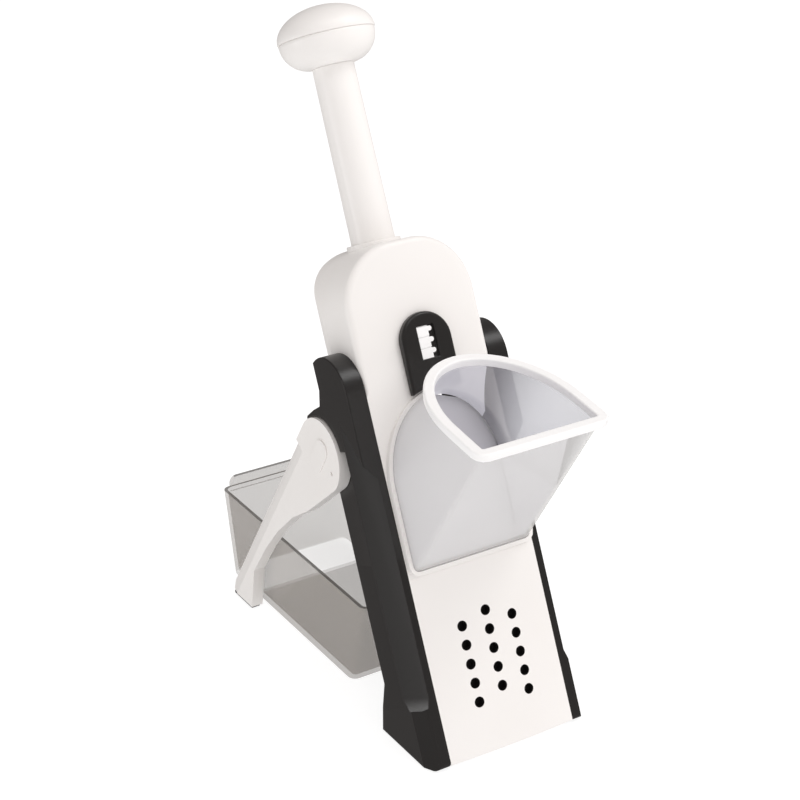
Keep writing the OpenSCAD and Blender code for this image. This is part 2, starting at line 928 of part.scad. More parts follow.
module plunger_rod() {
    straight = bush_top - head_top;
    neck = knob_s - bush_top;
    color(white) on_rod(head_top) difference() {
        union() {
            cylinder(r = rod_r, h = straight);
            translate([0, 0, straight]) cylinder(r1 = rod_r, r2 = rod_top_r, h = neck);
        }
        translate([0, 0, -1]) cylinder(r = spigot_r + seat_fit, h = spigot_h + 1.5);
        translate([0, 0, straight + neck - bolt_depth]) cylinder(r = bolt_r + seat_fit, h = bolt_depth + 1);
    }
}

// Side of the bowl under the knob, from the rod's top up to the rim
function bowl_points() = let (out = knob_r - cap_overhang - rod_top_r)
    [for (turn = [0:profile_step:90]) [rod_top_r + out * sin(turn), bowl_h * (1 - cos(turn))]];

module knob_base() {
    seat_s = bowl_h - bolt_head_h - 1;
    color(white) on_rod(knob_s) difference() {
        rotate_extrude($fn = 96) polygon(concat([[0, bowl_h], [0, 0]], bowl_points()));
        translate([0, 0, -1]) cylinder(r = bolt_r + seat_fit, h = bowl_h + 2);
        translate([0, 0, seat_s]) cylinder(r = bolt_head_r + seat_fit, h = bowl_h);
    }
}

module knob_cap() {
    color(white) on_rod(cap_s) rotate_extrude($fn = 96) polygon(concat(
        [[0, 0]],
        [for (turn = [0:profile_step:90]) [knob_r * cos(turn), dome_h * sin(turn)]]
    ));
}

module knob_screw() {
    seat_s = bowl_h - bolt_head_h - 1;
    color(steel) on_rod(knob_s) {
        translate([0, 0, -bolt_depth]) cylinder(r = bolt_r, h = bolt_depth + seat_s);
        translate([0, 0, seat_s]) cylinder(r = bolt_head_r, h = bolt_head_h);
    }
}

head_half = screw_x - boss_r - 1.5;

// Block that joins the rod to the deck
module crosshead() {
    head_n = plate_n + deck_t;
    head_back = housing_depth - wall - rod_gap - slide_gap;
    color(black) slanted() {
        translate([-head_half, head_n, head_bottom])
            cube([2 * head_half, head_back - head_n, head_h]);
        translate([0, rod_n, head_top]) cylinder(r = spigot_r, h = spigot_h);
    }
}

// Front view of a plate with the V cut out of its lower edge
module v_plate(half, raise, top) {
    polygon([
        [-half, blade_s + raise],
        [0, blade_s + raise + blade_rise],
        [half, blade_s + raise],
        [half, top],
        [-half, top]
    ]);
}

blade_half = deck_half - 1.2;
blade_top = blade_s + blade_rise + 9;
blade_screws_at = [for (share = [-0.75, -0.32, 0.32, 0.75]) [share * blade_half, blade_top - 4]];
screw_run = blade_n + blade_t + 2 * deck_t;

// The platform under the vegetable ends just short of the blade, and the slices pass through the slot
slot_h = 2.5;

module slicing_deck() {
    color("#e7e5e2") slanted() difference() {
        union() {
            front_sheet(platform_n, deck_t) polygon([
                [-deck_half, deck_bottom],
                [deck_half, deck_bottom],
                [deck_half, blade_s - slot_h],
                [0, blade_s + blade_rise - slot_h],
                [-deck_half, blade_s - slot_h]
            ]);
            for (side = [-1, 1]) {
                translate([side * (deck_half - bar_w / 2) - bar_w / 2, platform_n, deck_bottom])
                    cube([bar_w, bar_d, bar_top - deck_bottom]);
                translate([side > 0 ? deck_half - 1 : -lug_out, channel_n - lug_w / 2, lug_s])
                    cube([lug_out - deck_half + 1, lug_w, lug_h]);
            }
            front_sheet(plate_n, deck_t) intersection() {
                v_plate(deck_half, 2, deck_top);
                housing_outline(wall + deck_gap, seam_s);
            }
        }
        for (side = [-1, 1])
            translate([side * spring_x, channel_n, lug_s - 1])
                cylinder(r = guide_r + run_fit, h = lug_h + 2);
        for (place = blade_screws_at)
            through_bar(place[0], 0, place[1], screw_r + seat_fit, screw_run);
    }
}

module v_blade() {
    color(steel) slanted() difference() {
        front_sheet(blade_n, blade_t) v_plate(blade_half, 0, blade_top);
        for (place = blade_screws_at)
            through_bar(place[0], 0, place[1], screw_r + seat_fit, screw_run);
    }
}

module blade_screws() {
    color(steel) slanted() for (place = blade_screws_at) {
        through_bar(place[0], blade_n, place[1], screw_r, blade_t + deck_t);
        through_bar(place[0], plate_n + deck_t, place[1], screw_head_r - 0.4, screw_head_h - 0.4);
    }
}

// Legs

// The leg's back edge leaves the hub at this turn and runs down to the heel, and its front edge at the other
edge_turn = 32;
front_turn = 224;
hub_step = 6;
back_top = [hub_y + hub_r * cos(edge_turn), hub_z + hub_r * sin(edge_turn)];
back_run = [foot_back, heel_h] - back_top;
back_len = norm(back_run);
back_across = [back_run[1], -back_run[0]] / back_len;
bevel_start = back_len / 12;

// Places along the leg's front edge: share of the way down the back edge, and width of the leg there
waist_places = [
    [0.24, 1.47 * hub_r], [0.36, 1.6 * leg_width], [0.5, 1.2 * leg_width], [0.64, leg_width],
    [0.8, 0.93 * leg_width]
];
waist = [for (place = waist_places) back_top + place[0] * back_run + place[1] * back_across];

// Side view of the leg and its hub
module leg_outline() {
    polygon(concat(
        [for (turn = [edge_turn:hub_step:front_turn])
            [hub_y + hub_r * cos(turn), hub_z + hub_r * sin(turn)]],
        waist,
        [[foot_front, pad_h], [foot_back, pad_h], [foot_back, heel_h]]
    ));
}

// Wedge that leaves the bevel along the leg's back edge
module leg_bevel_cut() {
    translate([0, back_top[0], back_top[1]]) rotate([atan2(back_run[1], back_run[0]), 0, 0])
        translate([0, 2 * back_len, 0]) rotate([90, 0, 0]) linear_extrude(2 * back_len - bevel_start)
        polygon([
            [leg_out, -leg_bevel],
            [leg_out + 1, -leg_bevel],
            [leg_out + 1, leg_bevel],
            [leg_out - 2 * bevel_t, leg_bevel]
        ]);
}

module leg() {
    dot_r = 1.2;
    dot_d = 1.5;
    difference() {
        side_sheet(leg_in, leg_t) leg_outline();
        leg_bevel_cut();
        cross_bar(leg_in - 1, hub_y, hub_z, pin_r + run_fit, leg_t - 1);
        cross_bar(leg_out - dot_d, hub_y - hub_r * 0.6, hub_z - hub_r * 0.25, dot_r, 2 * dot_d);
    }
}

module left_leg() {
    color(white) standing() mirror([1, 0, 0]) leg();
}

module right_leg() {
    color(white) standing() leg();
}

// Oval cap over the pivot
module leg_cap() {
    cap_tilt = 60;
    cap_len = 12;
    side_sheet(leg_out, cap_proud) translate([hub_y, hub_z]) rotate(-cap_tilt) {
        for (end = [-1, 1]) translate([end * cap_len / 2, 0]) circle(cap_r);
        translate([-cap_len / 2, -cap_r]) square([cap_len, 2 * cap_r]);
    }
}

module left_leg_cap() {
    color(white) standing() mirror([1, 0, 0]) leg_cap();
}

module right_leg_cap() {
    color(white) standing() leg_cap();
}

module leg_pad() {
    pad_inset = 1;
    translate([leg_in + pad_inset, foot_front + 2, 0])
        cube([leg_t - 2 * pad_inset, leg_foot - 4, pad_h]);
}

module left_leg_pad() {
    color(rubber) standing() mirror([1, 0, 0]) leg_pad();
}

module right_leg_pad() {
    color(rubber) standing() leg_pad();
}

// Pins in the rails' ears, on which the legs turn
module leg_pins() {
    color(steel) standing() for (side = [0, 1]) mirror([side, 0, 0])
        cross_bar(inner_half, hub_y, hub_z, pin_r, leg_out - 2.5 - inner_half);
}

// Catch box

// Plan of the box at a height, drawn smaller by the inset
module box_level(z, inset) {
    share = 1 - z / box_h;
    half = box_half - share * box_draft - inset;
    front = box_front + share * box_front_draft + inset;
    back = box_back - share * box_draft - inset;
    radius = max(box_corner - inset, 1);
    for (x = [-half + radius, half - radius]) for (y = [front + radius, back - radius])
        translate([x, y, z]) cylinder(r = radius, h = eps, $fn = 32);
}

// Raised lips at the ends of the box, set in from its rim and rooted in its walls
lip_t = 2.4;
lip_r = 5;
lip_inset = 1.4;
lip_root = 2;

module box_lip(y) {
    half = box_half - box_corner;
    high = lip_h + lip_root;
    translate([0, y + lip_t, box_h - lip_root]) rotate([90, 0, 0]) linear_extrude(lip_t) {
        translate([-half, 0]) square([2 * half, high - lip_r]);
        translate([lip_r - half, 0]) square([2 * (half - lip_r), high]);
        for (side = [-1, 1]) translate([side * (half - lip_r), high - lip_r]) circle(lip_r);
    }
}

module catch_box() {
    color(smoky, 0.6) standing() {
        difference() {
            hull() {
                box_level(0, 0);
                box_level(box_h - eps, 0);
            }
            hull() {
                box_level(box_wall, box_wall);
                box_level(box_h + 1, box_wall);
            }
        }
        box_lip(box_back - lip_t - lip_inset);
        box_lip(box_front + lip_inset);
    }
}

left_rail();
right_rail();
rail_pads();
upper_housing();
housing_back();
back_screws();
rod_bush();
lower_panel();
panel_backer();
lower_cross();
slice_guide();
guide_rods();
spring_seats();
left_spring();
right_spring();
leg_pins();
chute_body();
chute_rim();
latch_plate();
latch_grip();
plunger_rod();
knob_base();
knob_cap();
knob_screw();
crosshead();
slicing_deck();
v_blade();
blade_screws();
left_leg();
right_leg();
left_leg_cap();
right_leg_cap();
left_leg_pad();
right_leg_pad();
catch_box();
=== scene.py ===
# %% [markdown]
# # A push-down vegetable slicer
# The slicer leans back on two folding legs. A vegetable goes in the frosted hopper, the palm pushes the
# knob down, and a blade behind the panel takes a slice that falls in the smoky box. The imported model
# gives every piece its place, so the first step is to load it.

# %% Load the frame
import bpy
import bmesh
import json
import math
from mathutils import Matrix, Vector

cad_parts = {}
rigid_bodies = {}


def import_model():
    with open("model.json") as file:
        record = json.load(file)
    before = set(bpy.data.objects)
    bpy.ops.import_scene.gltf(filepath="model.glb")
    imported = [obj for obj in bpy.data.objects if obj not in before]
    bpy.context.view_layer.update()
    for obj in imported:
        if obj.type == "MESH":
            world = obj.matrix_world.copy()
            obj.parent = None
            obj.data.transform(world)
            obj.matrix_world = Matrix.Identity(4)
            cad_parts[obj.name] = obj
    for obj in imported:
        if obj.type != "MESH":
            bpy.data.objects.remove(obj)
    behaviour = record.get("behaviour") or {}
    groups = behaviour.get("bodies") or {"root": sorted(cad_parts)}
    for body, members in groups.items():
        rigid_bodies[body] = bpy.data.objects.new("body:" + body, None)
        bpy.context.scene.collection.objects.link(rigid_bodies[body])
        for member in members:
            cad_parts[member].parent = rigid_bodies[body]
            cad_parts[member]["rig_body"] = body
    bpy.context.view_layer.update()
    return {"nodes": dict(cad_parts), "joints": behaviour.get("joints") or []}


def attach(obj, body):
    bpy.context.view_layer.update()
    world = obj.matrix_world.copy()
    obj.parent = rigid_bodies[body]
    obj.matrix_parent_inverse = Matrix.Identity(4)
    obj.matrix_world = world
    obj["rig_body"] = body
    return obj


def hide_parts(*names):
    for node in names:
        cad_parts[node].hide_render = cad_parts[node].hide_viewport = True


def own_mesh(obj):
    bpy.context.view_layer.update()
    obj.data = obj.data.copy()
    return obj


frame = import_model()
nodes = frame["nodes"]
scene = bpy.context.scene
MM = 0.001

# %% [markdown]
# ## The camera
# The photograph was taken from the front left, a little above the knob, with a long lens. The place and
# the lens were matched to the edges of the rails, the rim and the box, so the camera is simply put there.

# %% Camera
EYE = Vector((-0.5509, -0.8771, 0.6673))
AIM = Vector((0.0051, 0.0086, 0.1659))
LENS_MM, SENSOR_MM = 89.2, 36

lens = bpy.data.cameras.new("camera")
lens.lens = LENS_MM
lens.sensor_width = SENSOR_MM
camera = bpy.data.objects.new("camera", lens)
camera.location = EYE
camera.rotation_euler = (AIM - EYE).to_track_quat("-Z", "Y").to_euler()
scene.collection.objects.link(camera)
scene.camera = camera
print("camera", round((AIM - EYE).length, 3), "m from the slicer")

# %% [markdown]
# ## Colours and nodes
# Colours are picked as sRGB hex values, as a designer would, and Blender's shaders want linear light, so
# one function turns one into the other. The others start an empty material, add a shader node with its
# settings and links, and turn a size in millimetres into a pattern's scale.


# %% Colour and node helpers
def linear(code):
    """An sRGB hex colour as linear red, green, blue and alpha."""
    shades = [int(code[i:i + 2], 16) / 255 for i in (1, 3, 5)]
    return [c / 12.92 if c <= 0.04045 else ((c + 0.055) / 1.055) ** 2.4 for c in shades] + [1.0]


def blank_material(name):
    """A new material and its empty node tree."""
    material = bpy.data.materials.new(name)
    material.use_nodes = True
    material.node_tree.nodes.clear()
    return material, material.node_tree


def add_node(tree, kind, inputs=(), **settings):
    """A new node with its settings, and with values or links on its inputs."""
    node = tree.nodes.new(kind)
    for name, value in settings.items():
        setattr(node, name, value)
    for name, value in dict(inputs).items():
        if isinstance(value, bpy.types.NodeSocket):
            tree.links.new(value, node.inputs[name])
        else:
            node.inputs[name].default_value = value
    return node


def per_metre(size_mm):
    """The scale that gives a pattern's features this size, as object coordinates are in metres."""
    return 1 / (size_mm * MM)


print("warm white is", [round(c, 3) for c in linear("#f6f4f2")])

# %% [markdown]
# ## Moulded ABS
# The housing, rod, knob and legs are injection-moulded ABS, which takes a fine satin texture from the
# tool. To the eye that is a soft, broad highlight and a colour that is hardly ever quite even. Two noises
# give this: a broad one shifts the shade a little, and a fine one breaks up the gloss and the surface.

# %% Moulded plastic
PATCH_MM = 70
GLOSS_SPREAD = 0.06
GRAIN_STRENGTH = 0.25
ABS_IOR, SAN_IOR = 1.54, 1.57


def moulded_plastic(name, light, shade, roughness, grain_mm=0.5, grain_depth_mm=0.02, shine=0.5):
    """A satin plastic between two shades, with a grain of a given size and depth."""
    material, tree = blank_material(name)
    place = add_node(tree, "ShaderNodeTexCoord").outputs["Object"]
    broad = add_node(tree, "ShaderNodeTexNoise", {
        "Vector": place, "Scale": per_metre(PATCH_MM), "Detail": 2.0})
    fine = add_node(tree, "ShaderNodeTexNoise", {
        "Vector": place, "Scale": per_metre(grain_mm), "Detail": 2.0})
    colour = add_node(tree, "ShaderNodeMix", {"Factor": broad.outputs["Fac"]}, data_type="RGBA")
    colour.inputs["A"].default_value = linear(light)
    colour.inputs["B"].default_value = linear(shade)
    gloss = add_node(tree, "ShaderNodeMapRange", {
        "Value": fine.outputs["Fac"],
        "To Min": roughness - GLOSS_SPREAD, "To Max": roughness + GLOSS_SPREAD})
    grain = add_node(tree, "ShaderNodeBump", {
        "Height": fine.outputs["Fac"], "Strength": GRAIN_STRENGTH, "Distance": grain_depth_mm * MM})
    surface = add_node(tree, "ShaderNodeBsdfPrincipled", {
        "Base Color": colour.outputs["Result"], "Roughness": gloss.outputs["Result"],
        "Normal": grain.outputs["Normal"], "IOR": ABS_IOR, "Specular IOR Level": shine})
    add_node(tree, "ShaderNodeOutputMaterial", {"Surface": surface.outputs["BSDF"]})
    return material


warm_white_abs = moulded_plastic("warm_white_abs", "#f6f4f2", "#f0edea", 0.38)
# a whiter copy of the white plastic for the rim and grip: partly their own whiter colour, partly painted
# light on the rim's upward faces
painted_light_white_abs = moulded_plastic("painted_light_white_abs", "#fefefe", "#fcfcfc", 0.3)
black_abs = moulded_plastic("black_abs", "#272524", "#211f1e", 0.31,
                            grain_mm=0.6, grain_depth_mm=0.012, shine=0.45)
grey_abs = moulded_plastic("grey_abs", "#eeedf0", "#e6e5e8", 0.42)
print("moulded", warm_white_abs.name, painted_light_white_abs.name, black_abs.name, grey_abs.name)

# %% [markdown]
# ## Rubber, frosted and smoky plastic
# The pads are moulded rubber: nearly black, with almost no gloss. The hopper is a frosted SAN plastic and
# the box a tinted, clearer one. Each lets a share of the light straight through, so what stands behind
# shows as layers. The share that it stops is set as alpha, which stays clean with few samples and in the
# exported model.


# %% Rubber and see-through plastic
def see_through_plastic(name, light, shade, roughness, alpha, haze_mm):
    """A plastic that hides a share, alpha, of what stands behind it."""
    material = moulded_plastic(name, light, shade, roughness, grain_mm=haze_mm, grain_depth_mm=0.01)
    surface = next(n for n in material.node_tree.nodes if n.type == "BSDF_PRINCIPLED")
    surface.inputs["Alpha"].default_value = alpha
    surface.inputs["IOR"].default_value = SAN_IOR
    return material


SMOKE = ("#8a8075", "#82786d", 0.32)
moulded_rubber = moulded_plastic("moulded_rubber", "#232323", "#1a1a1a", 0.85,
                                 grain_mm=0.8, grain_depth_mm=0.06)
frosted_san = see_through_plastic("frosted_san", "#e7e6e3", "#e0dfdc", 0.45, 0.56, haze_mm=1.2)
# a darker copy of the frosted plastic for the inner faces: painted shade inside the hopper
frosted_inside_painted_shade = see_through_plastic("frosted_inside_painted_shade", "#c9c8ce", "#c2c1c7", 0.5, 0.78, haze_mm=1.2)
smoky_san = see_through_plastic("smoky_san", *SMOKE, 0.31, haze_mm=6)
# lit and shaded copies of the tint for the box floor: painted light at the back, painted shade in front
smoky_painted_lit_floor = see_through_plastic("smoky_painted_lit_floor", *SMOKE, 0.12, haze_mm=6)
smoky_painted_shade_floor = see_through_plastic("smoky_painted_shade_floor", *SMOKE, 0.36, haze_mm=6)
smoky_edge = see_through_plastic("smoky_edge", "#5f5b56", "#585450", 0.32, 0.8, haze_mm=6)
print("frosted", frosted_san.name, frosted_inside_painted_shade.name)
print("smoky", [m.name for m in (smoky_san, smoky_painted_lit_floor, smoky_painted_shade_floor, smoky_edge)])

# %% [markdown]
# ## The corner inside the hopper
# Inside, the hopper's left wall turns into its front at a corner that runs down and outwards. Less light
# comes through the front beside the corner, and that dark wedge is narrow at the bottom and wide at the
# top. It is painted shade: the distance past the corner, as a share of the wedge's width at that height,
# is turned into a darker colour. Frosted plastic scatters the light that soaks through it, and a faint
# painted glow of the same colour stands for that light.

# %% Painted corner shade and glow
CORNER_X, CORNER_Z, CORNER_SLOPE = 14 * MM, 218 * MM, 1 / 3
WEDGE_Z = 150 * MM
WEDGE_NARROW, WEDGE_WIDE = 3 * MM, 28 * MM
PAINTED_GLOW = 0.4
tree = frosted_inside_painted_shade.node_tree
surface = next(n for n in tree.nodes if n.type == "BSDF_PRINCIPLED")
plain = surface.inputs["Base Color"].links[0].from_socket
place = add_node(tree, "ShaderNodeSeparateXYZ", {
    "Vector": next(n for n in tree.nodes if n.type == "TEX_COORD").outputs["Object"]})
level = add_node(tree, "ShaderNodeMath", {0: place.outputs["Z"], 1: CORNER_SLOPE, 2: place.outputs["X"]},
                 operation="MULTIPLY_ADD")
past = add_node(tree, "ShaderNodeMath", {0: level.outputs["Value"], 1: CORNER_X + CORNER_Z * CORNER_SLOPE},
                operation="SUBTRACT")
width = add_node(tree, "ShaderNodeMapRange", {
    "Value": place.outputs["Z"], "From Min": WEDGE_Z, "From Max": CORNER_Z,
    "To Min": WEDGE_NARROW, "To Max": WEDGE_WIDE})
ramp = add_node(tree, "ShaderNodeMath", {0: past.outputs["Value"], 1: width.outputs["Result"]},
                operation="DIVIDE", use_clamp=True)
soft = add_node(tree, "ShaderNodeMapRange", {"Value": ramp.outputs["Value"]},
                interpolation_type="SMOOTHSTEP")
# painted shade: dark beside the corner, fading to the light wall colour across the wedge
painted_wedge = add_node(tree, "ShaderNodeMix", {"Factor": soft.outputs["Result"]}, data_type="RGBA")
painted_wedge.inputs["A"].default_value = linear("#78767b")
painted_wedge.inputs["B"].default_value = linear("#dcdde0")
beyond = add_node(tree, "ShaderNodeMath", {0: past.outputs["Value"], 1: 0.0}, operation="GREATER_THAN")
shade = add_node(tree, "ShaderNodeMix", {"Factor": beyond.outputs["Value"]}, data_type="RGBA")
tree.links.new(plain, shade.inputs["A"])
tree.links.new(painted_wedge.outputs["Result"], shade.inputs["B"])
tree.links.new(shade.outputs["Result"], surface.inputs["Base Color"])
# the same colours also glow faintly, as painted light inside the hopper
tree.links.new(shade.outputs["Result"], surface.inputs["Emission Color"])
surface.inputs["Emission Strength"].default_value = PAINTED_GLOW
print("corner shade on", frosted_inside_painted_shade.name)

# %% [markdown]
# ## Steel
# The rods, screws and springs are bright steel wire and bar, and the blade is ground across its face. The
# grinding leaves fine scratches one way, which is a noise squeezed in one direction. A real scratch is far
# too fine to show here, so it is drawn about a third of a millimetre wide.

# %% Steel
GLOSS_BELOW, GLOSS_ABOVE = 0.08, 0.1
SCRATCH_STRENGTH, SCRATCH_DEPTH = 0.2, 0.02 * MM


def ground_steel(name, shade, roughness, scratch_mm, scratch_long_mm):
    """Steel with scratches of a given width and length."""
    material, tree = blank_material(name)
    across, along = per_metre(scratch_mm), per_metre(scratch_long_mm)
    place = add_node(tree, "ShaderNodeTexCoord").outputs["Object"]
    squeezed = add_node(tree, "ShaderNodeMapping", {"Vector": place, "Scale": (across, along, along)})
    scratches = add_node(tree, "ShaderNodeTexNoise", {
        "Vector": squeezed.outputs["Vector"], "Scale": 1.0, "Detail": 3.0})
    gloss = add_node(tree, "ShaderNodeMapRange", {
        "Value": scratches.outputs["Fac"],
        "To Min": roughness - GLOSS_BELOW, "To Max": roughness + GLOSS_ABOVE})
    bump = add_node(tree, "ShaderNodeBump", {
        "Height": scratches.outputs["Fac"], "Strength": SCRATCH_STRENGTH, "Distance": SCRATCH_DEPTH})
    surface = add_node(tree, "ShaderNodeBsdfPrincipled", {
        "Base Color": linear(shade), "Metallic": 1.0, "Roughness": gloss.outputs["Result"],
        "Normal": bump.outputs["Normal"]})
    add_node(tree, "ShaderNodeOutputMaterial", {"Surface": surface.outputs["BSDF"]})
    return material


bright_steel = ground_steel("bright_steel", "#c6c8ca", 0.28, scratch_mm=1, scratch_long_mm=1)
blade_steel = ground_steel("blade_steel", "#d0d2d4", 0.24, scratch_mm=0.3, scratch_long_mm=12)
print("steel", bright_steel.name, blade_steel.name)

# %% [markdown]
# ## The body's own axes
# The body leans back, so most sizes are easier to read across, through and along it. The plunger's slide
# runs along the body, and its direction gives a matrix that turns the body's axes into the room's.


# %% Slant
push = Vector(next(j["axis"] for j in frame["joints"] if j["name"] == "plunger_slide"))
slant = Matrix((Vector((1, 0, 0)), Vector((0, -push.z, push.y)), -push)).transposed()
to_body = slant.transposed()


def slant_box(node):
    """A node's lowest and highest corner in the body's own axes: across, through and along the slant."""
    places = [to_body @ v.co for v in nodes[node].data.vertices]
    return Vector(map(min, *places)), Vector(map(max, *places))


body_low, body_high = slant_box("upper_housing")
print("the housing is", [round(v / MM, 1) for v in body_high - body_low], "mm across, through and along")

# %% [markdown]
# ## Soft edges
# No moulded edge is sharp: the tool leaves a small radius that catches the light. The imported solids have
# sharp edges, and their meshes must stay as they are, so each visible piece is a copy of its solid. The
# copy's flat faces are joined up again, and a bevel rounds every edge by a set number of millimetres. Where
# the photograph shows a larger radius, the edges are picked by their place and rounded first.

# %% Softened copies
WELD = 0.002 * MM
FLAT_DEG, SHARP_DEG = 0.5, 60
BROAD_SEGMENTS = 7
HAIR = 0.1 * MM


def finish_piece(piece, node, material):
    """Puts a piece in its node's place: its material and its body."""
    piece.data.materials.clear()
    piece.data.materials.append(material)
    for face in piece.data.polygons:
        face.use_smooth = True
    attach(piece, nodes[node]["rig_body"])
    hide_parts(node)


def welded_copy(node):
    """A copy of a solid with its triangles joined into whole faces."""
    mesh = nodes[node].data.copy()
    mesh.name = node
    form = bmesh.new()
    form.from_mesh(mesh)
    bmesh.ops.remove_doubles(form, verts=form.verts, dist=WELD)
    bmesh.ops.dissolve_limit(form, angle_limit=math.radians(FLAT_DEG), verts=form.verts, edges=form.edges)
    form.to_mesh(mesh)
    form.free()
    piece = bpy.data.objects.new(node + "_piece", mesh)
    scene.collection.objects.link(piece)
    return piece


def cut_across(piece, height):
    """Cuts a piece's faces at a height along the body, so that a broad edge can end there."""
    form = bmesh.new()
    form.from_mesh(piece.data)
    whole = [*form.verts, *form.edges, *form.faces]
    bmesh.ops.bisect_plane(form, geom=whole, plane_co=-push * height, plane_no=push)
    form.to_mesh(piece.data)
    form.free()


def pick_broad(piece, broad):
    """Marks the creases that get the larger radius, picked by their middle in the body's axes."""
    form = bmesh.new()
    form.from_mesh(piece.data)
    weight = form.edges.layers.float.new("bevel_weight_edge")
    for edge in form.edges:
        middle = to_body @ (edge.verts[0].co + edge.verts[1].co) / 2
        sharp = edge.calc_face_angle(0) > math.radians(SHARP_DEG)
        edge[weight] = 1.0 if sharp and broad(middle) else 0.0
    form.to_mesh(piece.data)
    form.free()


def softened(node, radius_mm, material, segments=3, crease_deg=32, broad_mm=None, broad=None, cut=None):
    """A copy with its creases rounded, first those picked as broad and then the rest.

    A cut ends the broad edges in time, so only then can they do without the limit on overlaps.
    """
    piece = welded_copy(node)
    if cut:
        cut_across(piece, cut)
    if broad:
        pick_broad(piece, broad)
        first = piece.modifiers.new("broad_edges", "BEVEL")
        first.width = broad_mm * MM
        first.segments = BROAD_SEGMENTS
        first.limit_method = "WEIGHT"
        first.loop_slide = False
        first.use_clamp_overlap = cut is None
    bevel = piece.modifiers.new("soft_edges", "BEVEL")
    bevel.width = radius_mm * MM
    bevel.segments = segments
    bevel.limit_method = "ANGLE"
    bevel.angle_limit = math.radians(crease_deg)
    bevel.harden_normals = True
    finish_piece(piece, node, material)
    piece.data.set_sharp_from_angle(angle=math.radians(crease_deg))
    return piece


# %% [markdown]
# ## Rails and pads
# The two black rails carry everything. Their edges are generous, because hands lift the slicer by them,
# and their rounded tops show a broad highlight.

# %% Rails
CROWN_DEEP = 62 * MM
rail_high = slant_box("right_rail")[1]


def on_crown(place):
    """On the outer side of a rail's rounded top."""
    return abs(place.x) > rail_high.x - HAIR and place.z > rail_high.z - CROWN_DEEP


for node in ("left_rail", "right_rail"):
    softened(node, 1.2, black_abs, crease_deg=18, broad_mm=5, broad=on_crown)
for node in ("rail_pads", "left_leg_pad", "right_leg_pad"):
    softened(node, 0.3, moulded_rubber, segments=2)
print("rails and pads done")

# %% [markdown]
# ## Housing and panel
# The white housing bows forward a little and has round shoulders. The upper part of its front outline is
# rounded broadly. The panel below it has three columns of holes, which show black because a dark sheet
# lies behind them, and their walls are made black too as painted shade in the holes.

# %% Housing
SHOULDER_DEEP, OUTLINE_DEEP = 35.2 * MM, 78 * MM
FRONT_DEEP = 4.2 * MM
HOLE_MARGIN, SIDEWAYS = 2 * MM, 0.5
outline_s = body_high.z - OUTLINE_DEEP


def on_outline(place):
    """On the upper outline of the housing's front."""
    outer = place.z > body_high.z - SHOULDER_DEEP or abs(place.x) > body_high.x - HAIR
    return outer and place.z > outline_s and place.y < body_low.y + FRONT_DEEP


softened("upper_housing", 0.9, warm_white_abs, broad_mm=3.5, broad=on_outline, cut=outline_s)
softened("housing_back", 1.6, warm_white_abs)
panel = softened("lower_panel", 0.5, warm_white_abs)
panel.data.materials.append(black_abs)
panel_low, panel_high = slant_box("lower_panel")
for face in panel.data.polygons:
    place, facing = to_body @ face.center, to_body @ face.normal
    inside = min(place.x - panel_low.x, panel_high.x - place.x,
                 place.z - panel_low.z, panel_high.z - place.z)
    # the walls of the holes in the white panel get black: painted shade in the holes
    if abs(facing.y) < SIDEWAYS and inside > HOLE_MARGIN:
        face.material_index = 1
softened("rod_bush", 0.6, warm_white_abs)
for node in ("panel_backer", "lower_cross", "slice_guide"):
    softened(node, 0.4, black_abs, segments=2)
print("housing done")

# %% [markdown]
# ## Rod and knob
# The knob is a mushroom for the palm: a dome over a bowl, with a fine seam where the two halves meet.
# Both are bodies of revolution, so they are turned from a profile, with the sizes read from their solids.


# %% Lathe
def turned(name, profile, axis_place, steps=96):
    """A closed body of revolution about the slant, from points of radius and height."""
    form = bmesh.new()
    rings = []
    for radius, height in profile:
        rings.append([form.verts.new((radius * math.cos(a), radius * math.sin(a), height))
                      for a in (2 * math.pi * k / steps for k in range(steps))])
    for low, high in zip(rings, rings[1:]):
        for k in range(steps):
            form.faces.new((low[k], low[(k + 1) % steps], high[(k + 1) % steps], high[k]))
    form.faces.new(list(reversed(rings[0])))
    form.faces.new(rings[-1])
    mesh = bpy.data.meshes.new(name)
    form.to_mesh(mesh)
    form.free()
    mesh.transform(slant.to_4x4() @ Matrix.Translation(axis_place))
    piece = bpy.data.objects.new(name, mesh)
    scene.collection.objects.link(piece)
    return piece


def quarter(start, end, middle, steps=16):
    """Points on a quarter of an ellipse about its middle, from one end to the other."""
    turns = [0.5 * math.pi * k / steps for k in range(steps + 1)]
    return [tuple(middle[i] + (start[i] - middle[i]) * math.cos(a) + (end[i] - middle[i]) * math.sin(a)
                  for i in (0, 1)) for a in turns]


# %% Knob
NECK_SHARE = 0.43
TIP_R = 0.2 * MM
SMOOTH_DEG = 50
cap_low, cap_high = slant_box("knob_cap")
bowl_low, bowl_high = slant_box("knob_base")
axis_n = (cap_low.y + cap_high.y) / 2
knob_r = (cap_high.x - cap_low.x) / 2
bowl_r = (bowl_high.x - bowl_low.x) / 2
neck_r = knob_r * NECK_SHARE
edge = 0.5 * MM

dome_h = cap_high.z - cap_low.z - 0.5 * edge
dome = quarter((knob_r, edge), (TIP_R, dome_h), (0, edge), steps=24)
seam = [(TIP_R, 0), (bowl_r - edge, 0), (knob_r - 0.3 * edge, 0.2 * edge)]
cap = turned("knob_cap_piece", seam + dome, (0, axis_n, cap_low.z))
finish_piece(cap, "knob_cap", warm_white_abs)
cap.data.set_sharp_from_angle(angle=math.radians(SMOOTH_DEG))

